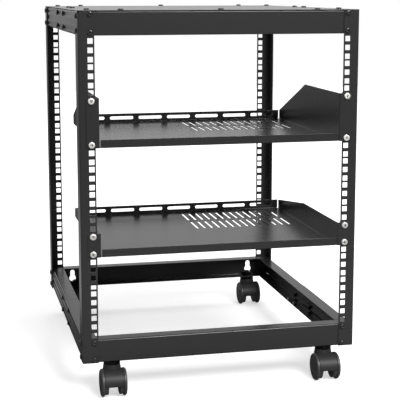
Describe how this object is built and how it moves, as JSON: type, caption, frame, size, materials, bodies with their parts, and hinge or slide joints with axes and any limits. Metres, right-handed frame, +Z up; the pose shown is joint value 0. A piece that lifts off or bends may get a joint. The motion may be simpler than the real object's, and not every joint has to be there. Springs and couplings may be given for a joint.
{
  "type": "four post open frame rack",
  "caption": "Open frame equipment rack: square-holed posts, channel beams, sliding side rails, flat top cover, vented tray shelves and hooded twin-wheel swivel casters.",
  "frame": {"origin": "on the floor, at the middle of the footprint of the rack with its casters as stored", "axes": "+Z up, -Y towards the front, where the shelves are screwed on, X from left to right seen from the front"},
  "size_m": [0.508, 0.6, 0.6855],
  "materials": {
    "powder_coat": "semi-gloss black powder coat",
    "caster_hood": "black moulded nylon, satin",
    "caster_wheel": "black moulded nylon wheel, satin",
    "zinc_steel": "zinc plated"
  },
  "bodies": {
    "frame": {"post_front_left": "powder_coat", "post_front_right": "powder_coat", "post_rear_left": "powder_coat", "post_rear_right": "powder_coat", "beam_front_top": "powder_coat", "beam_rear_top": "powder_coat", "beam_front_bottom": "powder_coat", "beam_rear_bottom": "powder_coat", "rail_left_top_front": "powder_coat", "rail_left_top_rear": "powder_coat", "rail_left_bottom_front": "powder_coat", "rail_left_bottom_rear": "powder_coat", "rail_right_top_front": "powder_coat", "rail_right_top_rear": "powder_coat", "rail_right_bottom_front": "powder_coat", "rail_right_bottom_rear": "powder_coat", "top_cover": "powder_coat", "shelf_upper": "powder_coat", "shelf_lower": "powder_coat", "caster_front_left_stem": "zinc_steel", "caster_front_right_stem": "zinc_steel", "caster_rear_left_stem": "zinc_steel", "caster_rear_right_stem": "zinc_steel", "caster_nuts": "zinc_steel"},
    "caster_front_left_swivel": {"caster_front_left_housing": "caster_hood", "caster_front_left_axle": "zinc_steel"},
    "caster_front_left_wheel_left_body": {"caster_front_left_wheel_left": "caster_wheel"},
    "caster_front_left_wheel_right_body": {"caster_front_left_wheel_right": "caster_wheel"},
    "caster_front_right_swivel": {"caster_front_right_housing": "caster_hood", "caster_front_right_axle": "zinc_steel"},
    "caster_front_right_wheel_left_body": {"caster_front_right_wheel_left": "caster_wheel"},
    "caster_front_right_wheel_right_body": {"caster_front_right_wheel_right": "caster_wheel"},
    "caster_rear_left_swivel": {"caster_rear_left_housing": "caster_hood", "caster_rear_left_axle": "zinc_steel"},
    "caster_rear_left_wheel_left_body": {"caster_rear_left_wheel_left": "caster_wheel"},
    "caster_rear_left_wheel_right_body": {"caster_rear_left_wheel_right": "caster_wheel"},
    "caster_rear_right_swivel": {"caster_rear_right_housing": "caster_hood", "caster_rear_right_axle": "zinc_steel"},
    "caster_rear_right_wheel_left_body": {"caster_rear_right_wheel_left": "caster_wheel"},
    "caster_rear_right_wheel_right_body": {"caster_rear_right_wheel_right": "caster_wheel"}
  },
  "joints": [
    {"name": "caster_front_left_swivel_turn", "type": "hinge", "parent": "frame", "child": "caster_front_left_swivel", "pos_m": [-0.2, -0.26, 0.05], "axis": [0, 0, 1], "continuous": true},
    {"name": "caster_front_left_wheel_left_spin", "type": "hinge", "parent": "caster_front_left_swivel", "child": "caster_front_left_wheel_left_body", "pos_m": [-0.2, -0.275, 0.025], "axis": [1, 0, 0], "continuous": true},
    {"name": "caster_front_left_wheel_right_spin", "type": "hinge", "parent": "caster_front_left_swivel", "child": "caster_front_left_wheel_right_body", "pos_m": [-0.2, -0.275, 0.025], "axis": [1, 0, 0], "continuous": true},
    {"name": "caster_front_right_swivel_turn", "type": "hinge", "parent": "frame", "child": "caster_front_right_swivel", "pos_m": [0.2, -0.26, 0.05], "axis": [0, 0, 1], "continuous": true},
    {"name": "caster_front_right_wheel_left_spin", "type": "hinge", "parent": "caster_front_right_swivel", "child": "caster_front_right_wheel_left_body", "pos_m": [0.2, -0.275, 0.025], "axis": [1, 0, 0], "continuous": true},
    {"name": "caster_front_right_wheel_right_spin", "type": "hinge", "parent": "caster_front_right_swivel", "child": "caster_front_right_wheel_right_body", "pos_m": [0.2, -0.275, 0.025], "axis": [1, 0, 0], "continuous": true},
    {"name": "caster_rear_left_swivel_turn", "type": "hinge", "parent": "frame", "child": "caster_rear_left_swivel", "pos_m": [-0.2, 0.283, 0.05], "axis": [0, 0, 1], "continuous": true},
    {"name": "caster_rear_left_wheel_left_spin", "type": "hinge", "parent": "caster_rear_left_swivel", "child": "caster_rear_left_wheel_left_body", "pos_m": [-0.2, 0.268, 0.025], "axis": [1, 0, 0], "continuous": true},
    {"name": "caster_rear_left_wheel_right_spin", "type": "hinge", "parent": "caster_rear_left_swivel", "child": "caster_rear_left_wheel_right_body", "pos_m": [-0.2, 0.268, 0.025], "axis": [1, 0, 0], "continuous": true},
    {"name": "caster_rear_right_swivel_turn", "type": "hinge", "parent": "frame", "child": "caster_rear_right_swivel", "pos_m": [0.2, 0.283, 0.05], "axis": [0, 0, 1], "continuous": true},
    {"name": "caster_rear_right_wheel_left_spin", "type": "hinge", "parent": "caster_rear_right_swivel", "child": "caster_rear_right_wheel_left_body", "pos_m": [0.2, 0.268, 0.025], "axis": [1, 0, 0], "continuous": true},
    {"name": "caster_rear_right_wheel_right_spin", "type": "hinge", "parent": "caster_rear_right_swivel", "child": "caster_rear_right_wheel_right_body", "pos_m": [0.2, 0.268, 0.025], "axis": [1, 0, 0], "continuous": true}
  ]
}
